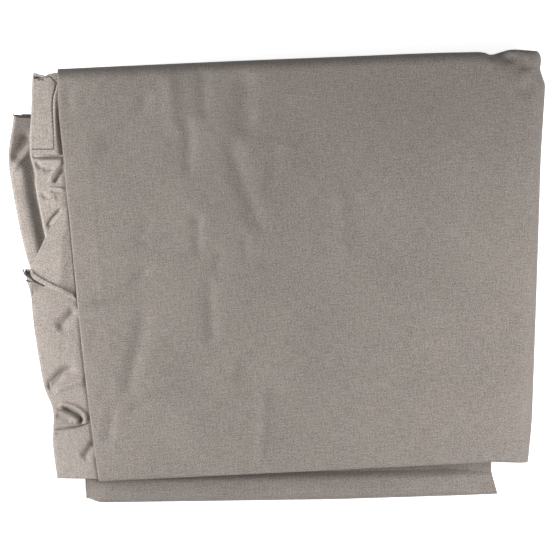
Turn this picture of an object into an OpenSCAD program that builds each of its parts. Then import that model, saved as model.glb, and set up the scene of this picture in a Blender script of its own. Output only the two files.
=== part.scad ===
// Fabric spa cover, folded flat into a bundle for storage.
// Two packets of folded cloth lie on each other like a closed book, the fold that joins them
// is the spine on the right, and the hem of one skirt panel hangs out on the left.
// Origin: middle of the bundle's footprint, on the surface it lies on. +X right, +Y back, +Z up.

/* [Bundle] */
// Width of the folded bundle, left to right
bundle_w = 428; // [400:2:460]
// Depth of the folded bundle, front to back
bundle_d = 363; // [340:1:390]
// Height of the folded bundle
bundle_h = 52; // [48:1:58]

/* [Cloth] */
// Thickness of the outermost cloth of each packet, as it lies with the air under it
wrap_t = 2.2; // [1.6:0.1:3]
// Space left between neighbouring lays
lay_gap = 0.2; // [0.1:0.05:0.4]
// Space between the two packets
packet_gap = 0.4; // [0.3:0.1:1]
// How far the front edge of the big sheet is turned back under it
turned_w = 16; // [10:1:24]

/* [Spine] */
// Angle by which the spine leans out towards the back
spine_tilt = 2.4; // [0:0.2:4]
// How far the spine's folds reach past the flat lays
spine_reach = 26; // [20:1:30]
// Number of sides that draw the curve of the spine
spine_sides = 20; // [12:2:32]

/* [Hem] */
// Width of the elastic in the hem casing
elastic_w = 15; // [10:1:18]
// Thickness of the elastic
elastic_t = 0.9; // [0.6:0.1:1.2]
// Length of one stitch of the thread
stitch_l = 2.5; // [1.5:0.1:3]
// Distance from one stitch to the next
stitch_pitch = 3.5; // [3.2:0.1:5]
// Thickness of the thread
thread_t = 0.5; // [0.3:0.1:0.8]

/* [Corner flap] */
// Thickness of the flap's cloth as it lies
flap_t = 1.6; // [1:0.1:2]
// Height of the flap's underside
flap_z = 44.6; // [44.3:0.1:45]
// Width of the flap's sewn hem
flap_hem_w = 4; // [3:0.5:6]

/* [Hidden] */

cloth = [0.60, 0.57, 0.54];
cloth_shade = [0.53, 0.50, 0.47];
cloth_light = [0.71, 0.68, 0.66];
thread_dark = [0.16, 0.13, 0.12];
rubber_white = [0.85, 0.84, 0.81];

mid_z = bundle_h / 2;
lower_top = mid_z - packet_gap / 2;
upper_bottom = mid_z + packet_gap / 2;
sheet_tilt = 2.8;   // the upper packet lies turned by this angle
roll_tilt = 1.3;    // the lower packet's front roll lies turned by this angle
spine_x = 0.965 * bundle_w / 2;   // where the spine's outermost line crosses Y = 0

// A place on the plan from its share of the half width and half depth, -1 to 1.
function at(u, v) = [u * bundle_w / 2, v * bundle_d / 2];
// A point of the flat end of the spine, at depth y.
function spineEnd(y) = [spine_x - spine_reach - lay_gap + y * tan(spine_tilt), y];
// The arc of a rounded corner from angle a to angle b, centred on c.
function arc(c, rx, ry, a, b, n) =
    [for (i = [0:n]) c + [rx * cos(a + (b - a) * i / n), ry * sin(a + (b - a) * i / n)]];

top_outline = [at(-0.817, 0.907), at(-0.802, 0.555), at(-0.750, -0.062), at(-0.667, -0.903),
               at(0.50, -0.84), spineEnd(-148), spineEnd(184), at(0.30, 0.99)];
upper_outline = [at(-0.745, 0.88), at(-0.690, -0.062), at(-0.610, -0.865),
                 spineEnd(-142), spineEnd(172)];
lower_outline = [at(-0.740, 0.86), at(-0.705, -0.5), at(-0.70, -0.93), at(0.79, -0.93),
                 at(0.79, -0.79), spineEnd(-141), spineEnd(168)];
roll_outline = [at(-0.740, 0.88), at(-0.715, -0.6), at(-0.712, -1), at(0.80, -1),
                at(0.80, -0.80), spineEnd(-141), spineEnd(168)];
casing_outline = [at(-0.921, 0.893), at(-0.822, 0.90), at(-0.808, 0.560), at(-0.921, 0.560)];
gathered_outline = [at(-0.921, 0.555), at(-0.808, 0.555), at(-0.770, 0.16),
                    at(-0.862, 0.16), at(-0.884, 0.269), at(-0.910, 0.445)];
lower_skirt_outline = [at(-0.935, 0), at(-0.930, -0.09), at(-0.905, -0.26), at(-0.886, -0.43),
                       at(-0.868, -0.54), at(-0.842, -0.58), at(-0.843, -0.68), at(-0.835, -0.80),
                       at(-0.820, -0.893), at(-0.625, -0.893), at(-0.702, -0.062), at(-0.711, 0)];
back_layer_outline = [at(-0.981, 0.709), at(-0.742, 0.709), at(-0.735, 0.5), at(-0.715, -0.10),
                      at(-0.90, -0.03), at(-0.925, 0.035), at(-0.960, 0.225), at(-0.996, 0.467),
                      at(-1, 0.555)];
flap_root = at(-0.790, 0.300);
flap_point = at(-0.918, 0.035);
flap_tip = at(-0.755, -0.104);
elastic_path = [at(-0.871, 0.87), at(-0.871, 0.555), at(-0.815, 0.18)];
topstitch_path = [at(-0.862, 0.876), at(-0.845, 0.872), at(-0.826, 0.850), at(-0.836, 0.780),
                  at(-0.840, 0.720), at(-0.835, 0.562)];
cross_stitch_path = [at(-0.918, 0.575), at(-0.837, 0.575)];

casing_z = 40.2;
casing_h = 4;
slot_z = 41.7;
gathered_z = 38;
gathered_h = 5.4;
hem_roof = casing_z + casing_h;

// ---- shared shapes ----

// A plate of the given outline between two heights.
module plate(outline, z, h)
    translate([0, 0, z])
        linear_extrude(h) polygon(outline);

// A profile in the back-to-front and height plane, carried the whole width and cut to an outline.
module channel(profile, tilt, outline)
    intersection() {
        rotate([0, 0, tilt])
            rotate([90, 0, 90])
                translate([0, 0, -bundle_w])
                    linear_extrude(2 * bundle_w) polygon(profile);
        plate(outline, -1, bundle_h + 2);
    }

// A lay of folded cloth: a flat slab whose front and back edges are rounded folds.
module lay(outline, z, h, front, back, tilt) {
    r = h / 2;
    profile = concat(arc([front + r, z + r], r, r, 270, 90, 8),
                     arc([back - r, z + r], r, r, 90, -90, 8));
    channel(profile, tilt, outline);
}

// A flat band of width w along a path of two or more points.
module band(path, w, z, h)
    translate([0, 0, z])
        linear_extrude(h)
            for (i = [0:len(path) - 2])
                bandStretch(path[i], path[i + 1], w);

module bandStretch(a, b, w) {
    d = (b - a) / norm(b - a);
    s = [-d[1], d[0]] * w / 2;
    polygon([a + s, b + s, b - s, a - s]);
}

// Stitches of flat thread laid end to end along a path.
module stitches(path, z)
    for (i = [0:len(path) - 2])
        stitchRun(path[i], path[i + 1], z);

module stitchRun(a, b, z) {
    count = floor(norm(b - a) / stitch_pitch);
    heading = atan2(b[1] - a[1], b[0] - a[0]);
    for (k = [0:count - 1])
        translate([a[0], a[1], z])
            rotate([0, 0, heading])
                translate([k * stitch_pitch, -thread_t / 2, 0])
                    cube([stitch_l, thread_t, thread_t]);
}

// ---- lower packet ----

// The outermost cloth of the lower packet: underside, rounded front roll and top.
module lower_wrap() {
    front = -0.9815 * bundle_d / 2;
    r = lower_top / 2;
    c = [front + r, r];
    inner = r - wrap_t;
    back = 0.87 * bundle_d / 2;
    profile = concat([[back, 0]], arc(c, r, r, 270, 90, 12),
                     [[back, lower_top], [back, lower_top - wrap_t]],
                     arc(c, inner, inner, 90, 270, 12), [[back, wrap_t]]);
    color(cloth) channel(profile, roll_tilt, roll_outline);
}

lay_front = -0.955 * bundle_d / 2;
lay_back = 0.85 * bundle_d / 2;
lower_lay_h = (lower_top - 2 * wrap_t - 4 * lay_gap) / 3;
function lowerLayZ(i) = wrap_t + lay_gap + i * (lower_lay_h + lay_gap);

module lower_lay_bottom()
    color(cloth_shade) lay(lower_outline, lowerLayZ(0), lower_lay_h, lay_front + 4, lay_back, roll_tilt);
module lower_lay_middle()
    color(cloth) lay(lower_outline, lowerLayZ(1), lower_lay_h, lay_front, lay_back - 3, roll_tilt);
module lower_lay_top()
    color(cloth_shade) lay(lower_outline, lowerLayZ(2), lower_lay_h, lay_front + 4, lay_back - 1, roll_tilt);

// The end of a back skirt panel that sticks out lowest on the left.
module back_skirt_layer()
    color(cloth)
        difference() {
            plate(back_layer_outline, lowerLayZ(1), 5);
            plate(lower_outline, 0, bundle_h);
        }

// The overlocked thread along the back edge of that layer.
module back_layer_overlock()
    color(thread_dark)
        for (k = [0:11])
            translate([at(-0.98, 0)[0] + k * 3.4, at(0, 0.709)[1], lowerLayZ(1)])
                cube([1.6, 0.9, 5.2]);

// ---- upper packet ----

// The big outer sheet: its back edge rolls down to the lower packet and its front edge is a
// fold that turns back under it.
module top_sheet() {
    back = 0.9495 * bundle_d / 2;
    front = -0.862 * bundle_d / 2;
    r = 9;
    inner = r - wrap_t;
    low = upper_bottom;
    roof = bundle_h;
    fold_r = wrap_t + 0.2;
    turned_end = front + fold_r + turned_w;
    profile = concat([[back, low]], arc([back - r, roof - r], r, r, 0, 90, 8),
                     arc([front + fold_r, roof - fold_r], fold_r, fold_r, 90, 270, 8),
                     [[turned_end, roof - 2 * fold_r], [turned_end, roof - 2 * fold_r + wrap_t]],
                     arc([front + fold_r, roof - fold_r], 0.2, 0.2, 270, 90, 4),
                     arc([back - r, roof - r], inner, inner, 90, 0, 8), [[back - wrap_t, low]]);
    color(cloth) channel(profile, sheet_tilt, top_outline);
}

// The turned-under hem of the big sheet, a band along its left edge.
module top_sheet_hem() {
    z = bundle_h - wrap_t - 1.8;
    color(cloth_shade)
        plate([at(-0.814, 0.86), at(-0.799, 0.555), at(-0.747, -0.062), at(-0.683, -0.73),
               at(-0.593, -0.725), at(-0.657, -0.062), at(-0.709, 0.555), at(-0.724, 0.86)], z, 1.6);
}

upper_roof = bundle_h - 2 * (wrap_t + 0.2) - lay_gap;
upper_lay_h = (upper_roof - upper_bottom - 2 * lay_gap) / 3;
function upperLayZ(i) = upper_bottom + i * (upper_lay_h + lay_gap);
upper_front = -0.838 * bundle_d / 2;
upper_back = 0.928 * bundle_d / 2;

module upper_lay_bottom()
    color(cloth_shade) lay(upper_outline, upperLayZ(0), upper_lay_h, upper_front, upper_back, sheet_tilt);
module upper_lay_middle()
    color(cloth) lay(upper_outline, upperLayZ(1), upper_lay_h, upper_front + 2, upper_back - 2, sheet_tilt);
module upper_lay_top()
    color(cloth_shade) lay(upper_outline, upperLayZ(2), upper_lay_h, upper_front + 1, upper_back - 1, sheet_tilt);

// The hem folded over into a tube for the elastic.
module hem_casing()
    color(cloth_light)
        difference() {
            plate(casing_outline, casing_z, casing_h);
            band(elastic_path, elastic_w + 0.4, slot_z - 0.1, elastic_t + 0.2);
        }

// The same hem further down, drawn up by the elastic.
module gathered_hem()
    color(cloth_light)
        difference() {
            plate(gathered_outline, gathered_z, gathered_h);
            band(elastic_path, elastic_w + 0.4, slot_z - 0.1, elastic_t + 0.2);
            plate(upper_outline, 0, bundle_h);
        }

module casing_elastic()
    color(rubber_white) band(elastic_path, elastic_w, slot_z, elastic_t);

module casing_topstitch()
    color(thread_dark) stitches(topstitch_path, hem_roof);

module casing_cross_stitch()
    color(thread_dark) stitches(cross_stitch_path, hem_roof);

// The dense block of thread where the elastic's end is sewn down.
module casing_bar_tack()
    color(thread_dark)
        translate([at(-0.910, 0)[0], at(0, 0.868)[1], hem_roof])
            for (k = [0:5])
                translate([k * 0.9, 0, 0])
                    cube([0.5, 2.4, 0.6]);

// The skirt that hangs out below the corner flap.
module lower_left_skirt()
    color(cloth_light)
        difference() {
            plate(lower_skirt_outline, 32, 11.6);
            plate(upper_outline, 0, bundle_h);
        }

// The overlocked end of the side seam, a short bundle of dark thread.
module seam_end_thread()
    color(thread_dark)
        for (side = [0, 1])
            translate([at(-0.935, 0)[0] - 5, at(0, 0)[1] - 4.6 * side - 1.4, 38.5])
                cube([4.9, 1.6, 2.2]);

// ---- spine ----

// Points of the spine's outline as a fold of the given reach and half height.
function spineFold(reach, half) =
    [for (i = [0:spine_sides]) let (a = -90 + 180 * i / spine_sides)
        [reach * pow(cos(a), 0.6), mid_z + half * sin(a)]];

module spineRun(profile)
    translate([spine_x - spine_reach, 0, 0])
        rotate([0, 0, -spine_tilt])
            translate([0, -146, 0])
                rotate([90, 0, 0])
                    translate([0, 0, -324])
                        linear_extrude(324) polygon(profile);

// The outer cloth that runs round the right edge from the lower packet to the upper one.
module spine_outer_fold() {
    outer = spineFold(spine_reach, mid_z);
    inner = spineFold(spine_reach - 7, mid_z - 7);
    color(cloth)
        spineRun(concat(outer, [for (i = [spine_sides:-1:0]) inner[i]]));
}

// The inner folds, nested in the outer one.
module spine_inner_folds()
    color(cloth_shade) spineRun(spineFold(spine_reach - 7.3, mid_z - 7.3));

// ---- corner flap ----

module corner_flap()
    color(cloth_light) plate([flap_root, flap_point, at(-0.845, -0.035), flap_tip], flap_z, flap_t);

module corner_flap_hem() {
    inward = [1, 3] * flap_hem_w / norm([1, 3]);
    mid = at(-0.845, -0.035);
    tip = flap_tip + [-2, 1];
    color(cloth)
        plate([flap_point + [1, 0.4], mid, tip, tip + inward, mid + inward, flap_point + [1, 0.4] + inward],
              flap_z + flap_t, 0.8);
}

module flap_hem_stitch()
    color(thread_dark)
        stitches([flap_point + [4.5, 1], at(-0.845, -0.035) + [0.8, 2.4], flap_tip + [-3.2, 3.4]],
                 flap_z + flap_t + 0.8);

lower_wrap();
lower_lay_bottom();
lower_lay_middle();
lower_lay_top();
back_skirt_layer();
back_layer_overlock();
upper_lay_bottom();
upper_lay_middle();
upper_lay_top();
top_sheet();
top_sheet_hem();
hem_casing();
casing_elastic();
casing_topstitch();
casing_cross_stitch();
casing_bar_tack();
gathered_hem();
lower_left_skirt();
seam_end_thread();
spine_outer_fold();
spine_inner_folds();
corner_flap();
corner_flap_hem();
flap_hem_stitch();
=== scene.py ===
# Fabric spa cover folded flat into a bundle: its cloth, hems, stitches and studio, made around
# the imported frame. Lengths are in metres; plan places are shares of the bundle's half width and
# half depth, -1 to 1, measured from the middle of its footprint.
import math

import bpy
import numpy as np
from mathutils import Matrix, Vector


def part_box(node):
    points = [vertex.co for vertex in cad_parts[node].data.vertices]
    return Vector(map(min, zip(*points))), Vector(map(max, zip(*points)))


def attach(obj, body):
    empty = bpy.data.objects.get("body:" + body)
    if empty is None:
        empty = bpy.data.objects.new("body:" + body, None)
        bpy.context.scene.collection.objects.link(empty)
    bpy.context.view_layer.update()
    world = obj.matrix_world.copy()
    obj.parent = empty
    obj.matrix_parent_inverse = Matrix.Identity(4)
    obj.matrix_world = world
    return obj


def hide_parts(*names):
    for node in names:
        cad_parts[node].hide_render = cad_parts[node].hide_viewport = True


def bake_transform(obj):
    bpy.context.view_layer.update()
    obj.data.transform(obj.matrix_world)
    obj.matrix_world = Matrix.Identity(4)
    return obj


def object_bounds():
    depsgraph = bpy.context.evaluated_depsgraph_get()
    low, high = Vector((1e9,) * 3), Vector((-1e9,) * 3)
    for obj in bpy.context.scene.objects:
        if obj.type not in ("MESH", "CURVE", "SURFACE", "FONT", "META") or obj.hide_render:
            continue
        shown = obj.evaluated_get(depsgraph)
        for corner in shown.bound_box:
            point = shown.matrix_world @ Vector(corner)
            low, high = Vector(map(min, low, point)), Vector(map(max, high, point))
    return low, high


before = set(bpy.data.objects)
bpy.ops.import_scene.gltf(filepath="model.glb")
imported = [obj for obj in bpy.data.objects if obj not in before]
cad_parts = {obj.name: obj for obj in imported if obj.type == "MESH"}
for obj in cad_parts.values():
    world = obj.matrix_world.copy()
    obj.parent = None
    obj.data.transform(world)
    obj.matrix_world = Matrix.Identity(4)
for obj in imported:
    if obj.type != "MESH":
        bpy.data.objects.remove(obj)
cadLow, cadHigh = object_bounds()

mm = 0.001
middle = np.array([(cadLow.x + cadHigh.x) / 2, (cadLow.y + cadHigh.y) / 2])
halfWidth = (cadHigh.x - cadLow.x) / 2
halfDepth = (cadHigh.y - cadLow.y) / 2
roof = cadHigh.z

bundle = {
    "spineTilt": math.radians(2.4),   # the spine leans out towards the back
    "spineLine": 0.965,               # share of the half width where its outer line crosses y = 0
    "spineReach": 26 * mm,            # how far the spine's folds reach past the flat lays
    "cloth": 0.55 * mm,               # thickness of one layer of cloth
}
midPlane = (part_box("lower_wrap")[1].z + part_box("upper_lay_bottom")[0].z) / 2


# small helpers

def place(u, v):  # plan place in metres from shares of the half width and half depth
    return middle[0] + np.asarray(u, float) * halfWidth, middle[1] + np.asarray(v, float) * halfDepth


def share(x, y):  # the other way round
    return (x - middle[0]) / halfWidth, (y - middle[1]) / halfDepth


def spineEnd(y):  # x of the flat end of the spine's folds at depth y
    outer = middle[0] + bundle["spineLine"] * halfWidth
    return outer - bundle["spineReach"] + y * math.tan(bundle["spineTilt"])


def ease(t):  # smooth step from 0 to 1
    t = np.clip(t, 0, 1)
    return t * t * (3 - 2 * t)


def through(points, count):  # smooth curve through given points: Catmull-Rom pieces, evenly sampled
    p = np.asarray(points, float)
    p = np.vstack([2 * p[0] - p[1], p, 2 * p[-1] - p[-2]])
    t = np.linspace(0, len(p) - 3 - 1e-9, max(count * 4, 60))
    i = t.astype(int)
    f = (t - i)[:, None]
    a, b, c, d = p[i], p[i + 1], p[i + 2], p[i + 3]
    square, cube = 2 * a - 5 * b + 4 * c - d, 3 * b - a - 3 * c + d
    curve = 0.5 * (2 * b + (c - a) * f + square * f ** 2 + cube * f ** 3)
    run = np.concatenate([[0], np.cumsum(np.linalg.norm(np.diff(curve, axis=0), axis=1))])
    even = np.linspace(0, run[-1], count)
    return np.stack([np.interp(even, run, curve[:, k]) for k in range(p.shape[1])], axis=1)


def route(shares, count):  # the same curve in metres through plan points given as shares
    return through(np.stack(place(*np.asarray(shares, float).T), axis=1), count)


def ripple(x, y, size, seed):  # soft uneven surface: a few sines of wavelength near size, from -1 to 1
    draw = np.random.default_rng(seed)
    total = np.zeros_like(x)
    for _ in range(7):
        heading = draw.uniform(0, 2 * math.pi)
        wave = size * draw.uniform(0.6, 1.6)
        total = total + np.sin((x * math.cos(heading) + y * math.sin(heading)) * 2 * math.pi / wave
                               + draw.uniform(0, 2 * math.pi))
    return total / 4.0


def creases(x, y, rows):
    # height of listed creases: each is a bell across its curve, exp(-(distance / width)^2),
    # tapered to nothing at both ends
    total = np.zeros_like(x)
    for points, width, height in rows:
        line = route(points, 14)
        best = np.full(x.shape, 1e9)
        along = np.zeros_like(x)
        for k in range(len(line) - 1):
            a, d = line[k], line[k + 1] - line[k]
            f = np.clip(((x - a[0]) * d[0] + (y - a[1]) * d[1]) / (d @ d), 0, 1)
            far = np.hypot(x - a[0] - f * d[0], y - a[1] - f * d[1])
            near = far < best
            best = np.where(near, far, best)
            along = np.where(near, (k + f) / (len(line) - 1), along)
        bell = height * mm * np.exp(-(best / (width * mm)) ** 2)
        total = total + bell * ease(along * 4) * ease((1 - along) * 4)
    return total


def gridNormals(p):  # unit normals of a grid of points, from the cross product of its two directions
    n = np.cross(np.gradient(p, axis=0), np.gradient(p, axis=1))
    return n / np.maximum(np.linalg.norm(n, axis=2, keepdims=True), 1e-12)


def meshObject(name, vertices, faces, uvs, material, body):
    mesh = bpy.data.meshes.new(name)
    mesh.from_pydata(vertices.tolist(), [], faces.tolist())
    mesh.update()
    layer = mesh.uv_layers.new(name="cloth")
    corner = np.empty(len(mesh.loops), int)
    mesh.loops.foreach_get("vertex_index", corner)
    layer.data.foreach_set("uv", uvs[corner].ravel())
    mesh.polygons.foreach_set("use_smooth", np.ones(len(mesh.polygons), bool))
    mesh.set_sharp_from_angle(angle=math.radians(62))
    mesh.materials.append(material)
    piece = bpy.data.objects.new(name, mesh)
    bpy.context.collection.objects.link(piece)
    if body:
        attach(piece, body)
    return piece


def clothGrid(points, uv, thick):
    # closed cloth from a grid of its middle surface: two skins half a thickness to either side
    # along the normals, and a rim of quads round the edge
    rows, columns = points.shape[:2]
    n = gridNormals(points) * thick / 2
    vertices = np.concatenate([(points + n).reshape(-1, 3), (points - n).reshape(-1, 3)])
    index = np.arange(rows * columns).reshape(rows, columns)
    top = np.stack([index[:-1, :-1], index[1:, :-1], index[1:, 1:], index[:-1, 1:]], axis=-1).reshape(-1, 4)
    under = top[:, ::-1] + rows * columns
    edge = np.concatenate([index[0, :], index[1:, -1], index[-1, -2::-1], index[-2:0:-1, 0]])
    after = np.roll(edge, -1)
    rim = np.stack([edge, after, after + rows * columns, edge + rows * columns], axis=-1)
    return vertices, np.concatenate([top, under, rim]), np.tile(uv.reshape(-1, 2), (2, 1))


def clothPiece(name, points, uv, material, body, thick=None):
    vertices, faces, uvs = clothGrid(points, uv, thick or bundle["cloth"])
    return meshObject(name, vertices, faces, uvs, material, body)


def clothStack(name, sheets, material, body, thick=None):  # several separate sheets in one piece
    made = [clothGrid(p, uv, thick or bundle["cloth"]) for p, uv in sheets]
    starts = np.cumsum([0] + [len(m[0]) for m in made[:-1]])
    return meshObject(name, np.concatenate([m[0] for m in made]),
                      np.concatenate([m[1] + s for m, s in zip(made, starts)]),
                      np.concatenate([m[2] for m in made]), material, body)


def runLength(path):  # distance along each row of a grid or path, summed from its start
    step = np.linalg.norm(np.diff(path, axis=0), axis=-1)
    return np.concatenate([np.zeros((1,) + step.shape[1:]), np.cumsum(step, axis=0)])


def measured(points):  # the grid's own map in metres and its two mean lengths
    across, along = runLength(points), runLength(points.transpose(1, 0, 2)).T
    return np.stack([across, along], axis=-1), (float(across[-1].mean()), float(along[:, -1].mean()))


def sheetPiece(name, node, points, body, blend=None):  # one folded sheet of the outer cloth
    uv, flat = measured(points)
    piece = clothPiece(name, points, uv, cloth, body)
    if blend:
        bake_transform(piece)
    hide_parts(node)


def tube(path, radius, sides=6):
    # round tube: rings of the given radius across the path's tangent, closed by a fan at each end
    p = np.asarray(path, float)
    t = np.gradient(p, axis=0)
    t /= np.maximum(np.linalg.norm(t, axis=1, keepdims=True), 1e-12)
    lift = np.where(np.abs(t[:, 2:3]) < 0.9, np.array([[0, 0, 1.0]]), np.array([[1.0, 0, 0]]))
    s = np.cross(t, lift)
    s /= np.linalg.norm(s, axis=1, keepdims=True)
    up = np.cross(s, t)
    angle = np.arange(sides) * 2 * math.pi / sides
    r = np.broadcast_to(np.asarray(radius, float), (len(p),))[:, None, None]
    circle = s[:, None] * np.cos(angle)[None, :, None] + up[:, None] * np.sin(angle)[None, :, None]
    rings = p[:, None] + r * circle
    vertices = np.concatenate([rings.reshape(-1, 3), p[:1], p[-1:]])
    index = np.arange(len(p) * sides).reshape(len(p), sides)
    after = np.roll(index, -1, axis=1)
    walls = np.stack([index[:-1], after[:-1], after[1:], index[1:]], axis=-1)
    faces = [list(q) for q in walls.reshape(-1, 4)]
    first, last = len(p) * sides, len(p) * sides + 1
    faces += [[first, b, a] for a, b in zip(index[0], after[0])]
    faces += [[last, a, b] for a, b in zip(index[-1], after[-1])]
    return vertices, faces


def threadPiece(name, runs, material, body):  # one piece from many short tubes (path, radius)
    vertices, faces, total = [], [], 0
    for path, radius in runs:
        v, f = tube(path, radius)
        vertices.append(v)
        faces += [[i + total for i in face] for face in f]
        total += len(v)
    vertices = np.concatenate(vertices)
    mesh = bpy.data.meshes.new(name)
    mesh.from_pydata(vertices.tolist(), [], faces)
    mesh.update()
    mesh.polygons.foreach_set("use_smooth", np.ones(len(mesh.polygons), bool))
    mesh.materials.append(material)
    piece = bpy.data.objects.new(name, mesh)
    bpy.context.collection.objects.link(piece)
    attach(piece, body)
    return piece


# materials

clothLook = {
    # paintedLightLift and skirtPaintedLightLift brighten whole copies of the cloth: painted light, standing in
    # for the light that the left-edge pieces and the skirt catch
    "shade": (0.078, 0.0675, 0.060), "pale": (0.452, 0.400, 0.360), "paintedLightLift": 1.46, "skirtPaintedLightLift": 1.17,
    "yarn": 0.46 * mm, "weaveDepth": 0.09 * mm, "fleckSize": 1.0 * mm, "slubSize": 1.2 * mm,
    "patchSize": 70 * mm, "roughness": 0.78, "sheen": 0.22,
}
threadLook = {"colour": (0.020, 0.016, 0.014), "fray": (0.060, 0.050, 0.044), "twist": 0.5 * mm}


class NodeTree:  # short way to write node trees
    def __init__(self, name):
        self.material = bpy.data.materials.new(name)
        self.material.use_nodes = True
        self.tree = self.material.node_tree
        self.shader = self.tree.nodes["Principled BSDF"]

    def add(self, kind, **settings):
        node = self.tree.nodes.new(kind)
        for key, value in settings.items():
            setattr(node, key, value)
        return node

    def feed(self, source, node, socket):
        if isinstance(source, (int, float, tuple)):
            node.inputs[socket].default_value = source
        else:
            self.tree.links.new(source, node.inputs[socket])

    def maths(self, operation, a, b=0.0):
        node = self.add("ShaderNodeMath", operation=operation)
        self.feed(a, node, 0)
        self.feed(b, node, 1)
        return node.outputs[0]

    def noise(self, vector, size, detail=2.0, rough=0.5):
        node = self.add("ShaderNodeTexNoise")
        self.feed(vector, node, "Vector")
        node.inputs["Scale"].default_value = 1 / size
        node.inputs["Detail"].default_value = detail
        node.inputs["Roughness"].default_value = rough
        return node.outputs["Fac"]

    def mix(self, amount, a, b):
        node = self.add("ShaderNodeMix", data_type="RGBA")
        self.feed(amount, node, 0)
        for socket, value in ((6, a), (7, b)):
            if isinstance(value, tuple):
                node.inputs[socket].default_value = (*value, 1)
            else:
                self.tree.links.new(value, node.inputs[socket])
        return node.outputs[2]

    def spread(self, value, low, high, toLow, toHigh):
        node = self.add("ShaderNodeMapRange")
        self.feed(value, node, 0)
        for k, number in enumerate((low, high, toLow, toHigh)):
            node.inputs[k + 1].default_value = number
        return node.outputs[0]


def clothMaterial(name, lift=1.0):
    # plain weave on the cloth's own map: warp and weft take turns over a checkerboard of yarns,
    # each yarn a half-round; flecks, streaks along the yarns and soft patches vary the colour;
    # the colour is darkened where the weave dips between yarns, painted shade, and a lift above 1
    # makes a brighter copy of the cloth, painted light
    n = NodeTree(name)
    uv = n.add("ShaderNodeUVMap", uv_map="cloth").outputs[0]
    split = n.add("ShaderNodeSeparateXYZ")
    n.feed(uv, split, 0)
    yarn = clothLook["yarn"]
    warp = n.maths("ABSOLUTE", n.maths("SINE", n.maths("MULTIPLY", split.outputs[0], math.pi / yarn)))
    weft = n.maths("ABSOLUTE", n.maths("SINE", n.maths("MULTIPLY", split.outputs[1], math.pi / yarn)))
    check = n.add("ShaderNodeTexChecker")
    n.feed(uv, check, "Vector")
    check.inputs["Scale"].default_value = 1 / yarn
    over = n.maths("MULTIPLY", warp, check.outputs["Fac"])
    under = n.maths("MULTIPLY", weft, n.maths("SUBTRACT", 1.0, check.outputs["Fac"]))
    height = n.maths("ADD", over, under)
    streak = n.add("ShaderNodeMapping")
    n.feed(uv, streak, 0)
    streak.inputs["Scale"].default_value = (0.12, 1, 1)
    streakAcross = n.add("ShaderNodeMapping")
    n.feed(uv, streakAcross, 0)
    streakAcross.inputs["Scale"].default_value = (1, 0.12, 1)
    slubSize = clothLook["slubSize"]
    alongYarn, acrossYarn = (n.noise(node.outputs[0], slubSize, 1.0) for node in (streak, streakAcross))
    slub = n.maths("ADD", alongYarn, acrossYarn)
    fleck = n.noise(uv, clothLook["fleckSize"], 3.0, 0.65)
    patch = n.noise(uv, clothLook["patchSize"], 2.0)
    tone = n.maths("ADD", n.maths("MULTIPLY", fleck, 0.74), n.maths("MULTIPLY", slub, 0.13))
    tone = n.maths("ADD", tone, n.maths("MULTIPLY", n.maths("SUBTRACT", patch, 0.5), 0.07))
    colour = n.mix(n.spread(tone, 0.30, 0.70, 0.0, 1.0), tuple(c * lift for c in clothLook["shade"]),
                   tuple(c * lift for c in clothLook["pale"]))
    # painted shade: the colour is darkened where the weave dips between yarns
    grooveShade = n.spread(height, 0.0, 0.7, 0.88, 1.0)
    shaded = n.add("ShaderNodeMix", data_type="RGBA", blend_type="MULTIPLY")
    shaded.inputs[0].default_value = 1.0
    n.feed(colour, shaded, 6)
    n.feed(grooveShade, shaded, 7)
    n.feed(shaded.outputs[2], n.shader, "Base Color")
    n.feed(n.spread(fleck, 0.3, 0.7, clothLook["roughness"] - 0.06, clothLook["roughness"] + 0.08),
           n.shader, "Roughness")
    n.shader.inputs["Sheen Weight"].default_value = clothLook["sheen"]
    n.shader.inputs["Sheen Roughness"].default_value = 0.45
    n.shader.inputs["Specular IOR Level"].default_value = 0.32
    bump = n.add("ShaderNodeBump")
    bump.inputs["Strength"].default_value = 0.55
    bump.inputs["Distance"].default_value = clothLook["weaveDepth"]
    n.feed(n.maths("ADD", height, n.maths("MULTIPLY", slub, 0.35)), bump, "Height")
    n.feed(bump.outputs[0], n.shader, "Normal")
    return n.material


def threadMaterial():
    # sewing thread: fine twist lines across its length and a little fray in its colour
    n = NodeTree("darkThread")
    place3d = n.add("ShaderNodeTexCoord").outputs["Object"]
    fray = n.noise(place3d, 0.6 * mm, 3.0)
    colour = n.mix(n.spread(fray, 0.35, 0.7, 0.0, 1.0), threadLook["colour"], threadLook["fray"])
    n.feed(colour, n.shader, "Base Color")
    n.shader.inputs["Roughness"].default_value = 0.62
    n.shader.inputs["Sheen Weight"].default_value = 0.3
    wave = n.add("ShaderNodeTexWave", wave_type="BANDS", bands_direction="DIAGONAL")
    n.feed(place3d, wave, "Vector")
    wave.inputs["Scale"].default_value = 0.3 / threadLook["twist"]
    wave.inputs["Distortion"].default_value = 1.5
    bump = n.add("ShaderNodeBump")
    bump.inputs["Strength"].default_value = 0.5
    bump.inputs["Distance"].default_value = 0.08 * mm
    n.feed(wave.outputs["Fac"], bump, "Height")
    n.feed(bump.outputs[0], n.shader, "Normal")
    return n.material


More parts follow.
